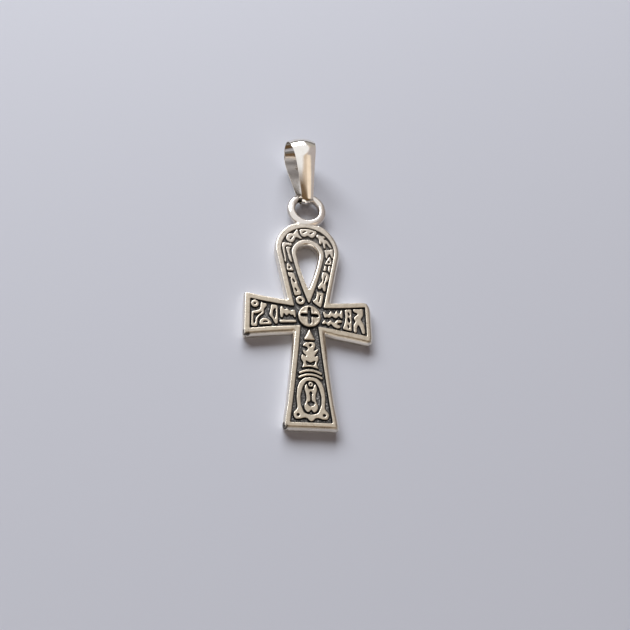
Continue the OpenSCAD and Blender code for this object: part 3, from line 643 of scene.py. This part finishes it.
def castSilver():
    # Sterling silver, lost-wax cast, blackened with liver of sulphur and rubbed back on a wheel:
    # satin tops with a warm sheen, bright edges, and a black line against each wall of the relief
    material, tree = emptyMaterial("castSterlingOxidised")
    look = silverLook
    place = addNode(tree, "ShaderNodeTexCoord")
    wall = addNode(tree, "ShaderNodeAttribute", {"attribute_name": "wallGap"})
    edge = addNode(tree, "ShaderNodeAttribute", {"attribute_name": "edgeGap"})

    # ragged border of the rubbed metal, where the gaps are in millimetres and places in metres
    ragged = addNode(tree, "ShaderNodeTexNoise", inputs={
        "Vector": (place, "Object"), "Scale": 1 / (look["ragged"] * mm), "Detail": 3.0})
    shift = addNode(tree, "ShaderNodeMath", {"operation": "MULTIPLY_ADD"},
                    {0: (ragged, "Fac"), 1: look["raggedness"], 2: -look["raggedness"] / 2})
    gap = addNode(tree, "ShaderNodeMath", {"operation": "ADD"}, {0: (wall, "Fac"), 1: (shift, 0)})
    rubbed = addNode(tree, "ShaderNodeMapRange", {"interpolation_type": "SMOOTHSTEP"},
                     {"Value": (gap, 0), "From Min": -0.02, "From Max": 0.05})
    # black against the wall, greyer out in the field
    outInField = addNode(tree, "ShaderNodeMapRange", {"interpolation_type": "SMOOTHSTEP"},
                         {"Value": (gap, 0), "From Min": -0.11, "From Max": -0.25})
    grains = addNode(tree, "ShaderNodeTexNoise", inputs={
        "Vector": (place, "Object"), "Scale": 1 / (look["grit"] * mm), "Detail": 2.0, "Roughness": 0.6})
    speck = addNode(tree, "ShaderNodeMapRange", inputs={
        "Value": (grains, "Fac"), "From Min": 0.52, "From Max": 0.72})
    fieldColour = addNode(tree, "ShaderNodeMix", {"data_type": "RGBA"}, {
        "Factor": (speck, 0), 6: linear(look["field"]), 7: linear(look["fieldSpeck"])})
    axes = addNode(tree, "ShaderNodeSeparateXYZ", inputs={"Vector": (place, "Object")})
    # painted light: a share that grows towards the loop end and lightens the field and the tops there
    paintedLightUp = addNode(tree, "ShaderNodeMapRange", {"interpolation_type": "SMOOTHSTEP"},
                     {"Value": (axes, "Y"), "From Min": 3 * mm, "From Max": 13 * mm, "To Max": 0.6})
    blackened = addNode(tree, "ShaderNodeMix", {"data_type": "RGBA"}, {
        "Factor": (outInField, 0), 6: linear(look["sulphide"]), 7: (fieldColour, 2)})
    dark = addNode(tree, "ShaderNodeMix", {"data_type": "RGBA"}, {
        "Factor": (paintedLightUp, 0), 6: (blackened, 2), 7: linear(look["loopFieldLit"])})

    # rubbed tops, brighter along their edges
    nearWall = addNode(tree, "ShaderNodeMapRange", {"interpolation_type": "SMOOTHSTEP"},
                       {"Value": (gap, 0), "From Min": 0.14, "From Max": 0.03})
    mottle = addNode(tree, "ShaderNodeTexNoise", inputs={
        "Vector": (place, "Object"), "Scale": 1 / (look["mottle"] * mm), "Detail": 4.0})
    bright = addNode(tree, "ShaderNodeMath", {"operation": "MULTIPLY_ADD"},
                     {0: (mottle, "Fac"), 1: 0.45, 2: (nearWall, 0)})
    light = addNode(tree, "ShaderNodeMix", {"data_type": "RGBA"}, {
        "Factor": (bright, 0), 6: linear(look["tops"]), 7: linear(look["worn"])})
    # painted light: the tops turn lighter towards the loop end
    litTowardLoop = addNode(tree, "ShaderNodeMix", {"data_type": "RGBA"}, {
        "Factor": (paintedLightUp, 0), 6: (light, 2), 7: linear(look["loop"])})
    # a faint brown film where the wheel has missed
    film = addNode(tree, "ShaderNodeTexNoise", inputs={
        "Vector": (place, "Object"), "Scale": 1 / (look["filmPatch"] * mm), "Detail": 5.0, "Roughness": 0.6})
    missed = addNode(tree, "ShaderNodeMapRange", {"interpolation_type": "SMOOTHSTEP"},
                     {"Value": (film, "Fac"), "From Min": 0.45, "From Max": 0.68, "To Max": 0.35})
    filmed = addNode(tree, "ShaderNodeMix", {"data_type": "RGBA"}, {
        "Factor": (missed, 0), 6: (litTowardLoop, 2), 7: linear(look["film"])})
    # clean metal on the sides, on the outer edges and on the ring
    below = addNode(tree, "ShaderNodeMapRange", {"interpolation_type": "SMOOTHSTEP"},
                    {"Value": (axes, "Z"), "From Min": 1.6 * mm, "From Max": 1.35 * mm})
    side = addNode(tree, "ShaderNodeMapRange", {"interpolation_type": "SMOOTHSTEP"},
                   {"Value": (edge, "Fac"), "From Min": 0.36, "From Max": 0.16})
    onRing = addNode(tree, "ShaderNodeMapRange", {"interpolation_type": "SMOOTHSTEP"},
                     {"Value": (axes, "Y"), "From Min": 18.4 * mm, "From Max": 18.9 * mm})
    lowOrSide = addNode(tree, "ShaderNodeMath", {"operation": "MAXIMUM"}, {0: (below, 0), 1: (side, 0)})
    plateColour = addNode(tree, "ShaderNodeMix", {"data_type": "RGBA"}, {
        "Factor": (lowOrSide, 0), 6: (filmed, 2), 7: linear(look["clean"])})
    metalColour = addNode(tree, "ShaderNodeMix", {"data_type": "RGBA"}, {
        "Factor": (onRing, 0), 6: (plateColour, 2), 7: linear(look["ring"])})
    # a spot of old tarnish at each stained corner, with a ragged edge
    spotFrom, spotFull = look["stainFrom"]
    for x, y, z in look["stains"]:
        away = addNode(tree, "ShaderNodeVectorMath", {"operation": "DISTANCE"}, {0: (place, "Object")})
        away.inputs[1].default_value = (x * mm, y * mm, z * mm)
        torn = addNode(tree, "ShaderNodeMath", {"operation": "MULTIPLY_ADD"},
                       {0: (film, "Fac"), 1: look["stainRagged"] * mm, 2: (away, "Value")})
        spot = addNode(tree, "ShaderNodeMapRange", {"interpolation_type": "SMOOTHSTEP"}, {
            "Value": (torn, 0), "From Min": spotFrom * mm, "From Max": spotFull * mm, "To Max": 0.9})
        metalColour = addNode(tree, "ShaderNodeMix", {"data_type": "RGBA"}, {
            "Factor": (spot, 0), 6: (metalColour, 2), 7: linear(look["stain"])})
    colour = addNode(tree, "ShaderNodeMix", {"data_type": "RGBA"}, {
        "Factor": (rubbed, 0), 6: (dark, 2), 7: (metalColour, 2)})

    # roughness: matt sulphide, satin tops, duller sides, wheel-polished outer edges and ring
    smear = addNode(tree, "ShaderNodeMapRange", inputs={
        "Value": (mottle, "Fac"), "From Min": 0.3, "From Max": 0.7, "To Min": 0.25, "To Max": 0.35})
    topRough = addNode(tree, "ShaderNodeMix", {"data_type": "FLOAT"}, {
        "Factor": (side, 0), 2: (smear, 0), 3: 0.17})
    plateRough = addNode(tree, "ShaderNodeMix", {"data_type": "FLOAT"}, {
        "Factor": (below, 0), 2: (topRough, 0), 3: 0.42})
    metalRough = addNode(tree, "ShaderNodeMix", {"data_type": "FLOAT"}, {
        "Factor": (onRing, 0), 2: (plateRough, 0), 3: 0.17})
    rough = addNode(tree, "ShaderNodeMix", {"data_type": "FLOAT"}, {
        "Factor": (rubbed, 0), 2: 0.55, 3: (metalRough, 0)})
    metal = addNode(tree, "ShaderNodeMapRange", inputs={"Value": (rubbed, 0), "To Min": 0.7, "To Max": 1.0})

    # grain of the field and the fine scratches of the tops
    scratches = addNode(tree, "ShaderNodeTexNoise", inputs={
        "Vector": (place, "Object"), "Scale": 1 / (look["scratch"] * mm), "Detail": 1.0})
    relief = addNode(tree, "ShaderNodeMix", {"data_type": "FLOAT"}, {
        "Factor": (rubbed, 0), 2: (grains, "Fac"), 3: (scratches, "Fac")})
    depth = addNode(tree, "ShaderNodeMapRange", inputs={"Value": (rubbed, 0), "To Min": 0.9, "To Max": 0.12})
    bump = addNode(tree, "ShaderNodeBump", inputs={
        "Height": (relief, 0), "Strength": (depth, 0), "Distance": look["scratchDepth"] * mm})
    shader = addNode(tree, "ShaderNodeBsdfPrincipled", inputs={
        "Base Color": (colour, 2), "Metallic": (metal, 0), "Roughness": (rough, 0), "Normal": (bump, 0)})
    addNode(tree, "ShaderNodeOutputMaterial", inputs={"Surface": (shader, 0)})
    return material


stripLook = {
    "shade": "#ddd8cf", "shine": "#f2eee8",    # two tones of bare silver, in soft clouds
    "cloud": 1.4,                              # mm across
    "hair": 0.05, "hairDepth": 0.03,           # mm, hairlines coarser than the real 0.01 so that they show
    "stretch": 0.12,                           # they run along the strip
}


def polishedSilver():
    # Sterling silver strip, folded and polished on a felt wheel: a mirror with a few hairline scratches
    material, tree = emptyMaterial("rolledSterlingPolished")
    look = stripLook
    place = addNode(tree, "ShaderNodeTexCoord")
    along = addNode(tree, "ShaderNodeMapping", inputs={
        "Vector": (place, "Object"), "Scale": (1.0, look["stretch"], 1.0)})
    hairs = addNode(tree, "ShaderNodeTexNoise", inputs={
        "Vector": (along, 0), "Scale": 1 / (look["hair"] * mm), "Detail": 2.0})
    clouds = addNode(tree, "ShaderNodeTexNoise", inputs={
        "Vector": (place, "Object"), "Scale": 1 / (look["cloud"] * mm), "Detail": 3.0})
    rough = addNode(tree, "ShaderNodeMapRange", inputs={
        "Value": (clouds, "Fac"), "From Min": 0.3, "From Max": 0.7, "To Min": 0.08, "To Max": 0.15})
    tone = addNode(tree, "ShaderNodeMix", {"data_type": "RGBA"}, {
        "Factor": (clouds, "Fac"), 6: linear(look["shade"]), 7: linear(look["shine"])})
    bump = addNode(tree, "ShaderNodeBump", inputs={
        "Height": (hairs, "Fac"), "Strength": 0.06, "Distance": look["hairDepth"] * mm})
    shader = addNode(tree, "ShaderNodeBsdfPrincipled", inputs={
        "Base Color": (tone, 2), "Metallic": 1.0, "Roughness": (rough, 0), "Normal": (bump, 0)})
    addNode(tree, "ShaderNodeOutputMaterial", inputs={"Surface": (shader, 0)})
    return material


ankh.data.materials.append(castSilver())
bail.data.materials.append(polishedSilver())
print("finishes made")


# Surface, light and camera

stageLook = {
    "floor": "#dcdee4", "floorSize": 900,
    "fibre": 0.8, "fibreDepth": 0.05,    # the card's faint grain, in millimetres
    # the window: direction it comes from, how far off it is, its width and height, power and colour
    "windowFrom": (-0.32, 0.785, 0.52), "windowFar": 1200, "windowSize": (1300, 540),
    "windowPower": 23.6, "windowColour": "#e9ecf3",
    "fill": "#5d524f",       # warm dim light from the rest of the room, for matt surfaces
    "backdrop": "#b9bcc2",   # what the camera sees past the floor
    # the room as polished silver mirrors it: a ground colour, then soft fields painted over it in turn,
    # each with an axis, where along that axis it starts and is full, its colour and its strength
    "ground": "#e3d0bc",
    "room": (("right wall", (1, 0, 0), 0.36, 0.52, "#beb6b5", 1.0),
             ("bright wall", (-0.452, 0.296, 0.841), 0.565, 0.615, "#fbfcff", 1.1),
             ("behind", (0.3, 0.95, 0.1), 0.8, 0.9, "#b9b4ae", 1.0),
             ("beyond the foot", (0, 1, 0), -0.49, -0.63, "#70583e", 1.0),
             ("horizon", (0, 0, 1), 0.36, 0.15, "#7a7773", 1.0),
             ("low front", (-0.25, -0.96, 0.05), 0.85, 0.94, "#f2ede8", 1.7),
             ("low corner", (0.57, -0.4, 0.72), 0.955, 0.985, "#ffedd8", 1.1),
             ("far right", (1, 0, 0), 0.9, 0.97, "#a09896", 1.0)),
}


def paleFloor():
    # Smooth pale card, matt with a faint grain
    material, tree = emptyMaterial("paleCard")
    place = addNode(tree, "ShaderNodeTexCoord")
    fibre = addNode(tree, "ShaderNodeTexNoise", inputs={
        "Vector": (place, "Object"), "Scale": 1 / (stageLook["fibre"] * mm), "Detail": 4.0})
    bump = addNode(tree, "ShaderNodeBump", inputs={
        "Height": (fibre, "Fac"), "Strength": 0.08, "Distance": stageLook["fibreDepth"] * mm})
    shader = addNode(tree, "ShaderNodeBsdfPrincipled", inputs={
        "Base Color": linear(stageLook["floor"]), "Roughness": 0.75, "Normal": (bump, 0)})
    addNode(tree, "ShaderNodeOutputMaterial", inputs={"Surface": (shader, 0)})
    return material


floorMesh = bpy.data.meshes.new("floor")
halfFloor = stageLook["floorSize"] / 2 * mm
floorMesh.from_pydata([(-halfFloor, -halfFloor, 0), (halfFloor, -halfFloor, 0),
                       (halfFloor, halfFloor, 0), (-halfFloor, halfFloor, 0)], [], [(0, 1, 2, 3)])
floorMesh.materials.append(paleFloor())
floor = bpy.data.objects.new("floor", floorMesh)
bpy.context.scene.collection.objects.link(floor)

window = bpy.data.lights.new("window", "AREA")
window.shape = "RECTANGLE"
window.size, window.size_y = [side * mm for side in stageLook["windowSize"]]
window.energy = stageLook["windowPower"]
window.color = linear(stageLook["windowColour"])[:3]
windowObject = bpy.data.objects.new("window", window)
windowWay = Vector(stageLook["windowFrom"]).normalized()
windowObject.location = windowWay * stageLook["windowFar"] * mm
windowObject.rotation_euler = windowWay.to_track_quat("Z", "Y").to_euler()
windowObject.visible_camera = False
bpy.context.scene.collection.objects.link(windowObject)


def studioWorld():
    world = bpy.data.worlds.new("studio")
    world.use_nodes = True
    tree = world.node_tree
    tree.nodes.clear()
    place = addNode(tree, "ShaderNodeTexCoord")
    room = addNode(tree, "ShaderNodeRGB")
    room.outputs[0].default_value = linear(stageLook["ground"])
    last = (room, 0)
    for name, axis, start, full, colour, strength in stageLook["room"]:
        along = addNode(tree, "ShaderNodeVectorMath", {"operation": "DOT_PRODUCT", "label": name},
                        {0: (place, "Generated")})
        along.inputs[1].default_value = Vector(axis).normalized()
        share = addNode(tree, "ShaderNodeMapRange", {"interpolation_type": "SMOOTHSTEP"},
                        {"Value": (along, "Value"), "From Min": start, "From Max": full})
        lit = [channel * strength for channel in linear(colour)[:3]] + [1.0]
        painted = addNode(tree, "ShaderNodeMix", {"data_type": "RGBA"}, {"Factor": (share, 0), 6: last})
        painted.inputs[7].default_value = lit
        last = (painted, 2)
    # matt surfaces get the fill, silver mirrors the room, and the camera sees a plain backdrop
    ray = addNode(tree, "ShaderNodeLightPath")
    mirrored = addNode(tree, "ShaderNodeMix", {"data_type": "RGBA"}, {
        "Factor": (ray, "Is Glossy Ray"), 6: linear(stageLook["fill"]), 7: last})
    seen = addNode(tree, "ShaderNodeMix", {"data_type": "RGBA"}, {
        "Factor": (ray, "Is Camera Ray"), 6: (mirrored, 2), 7: linear(stageLook["backdrop"])})
    glow = addNode(tree, "ShaderNodeBackground", inputs={"Color": (seen, 2), "Strength": 1.0})
    addNode(tree, "ShaderNodeOutputWorld", inputs={"Surface": (glow, 0)})
    return world


bpy.context.scene.world = studioWorld()

# place in millimetres, turn in degrees
cameraLook = {"place": (-22.0, -42.79, 92.79), "turn": (25.042, -13.555, -1.415), "lens": 34.29, "sensor": 36}
lens = bpy.data.cameras.new("camera")
lens.lens = cameraLook["lens"]
lens.sensor_width = cameraLook["sensor"]
lens.clip_start = 1 * mm
camera = bpy.data.objects.new("camera", lens)
camera.location = Vector(cameraLook["place"]) * mm
camera.rotation_euler = [math.radians(a) for a in cameraLook["turn"]]
bpy.context.scene.collection.objects.link(camera)
bpy.context.scene.camera = camera
bpy.context.scene.view_settings.view_transform = "Standard"
print("floor, lights and camera set")
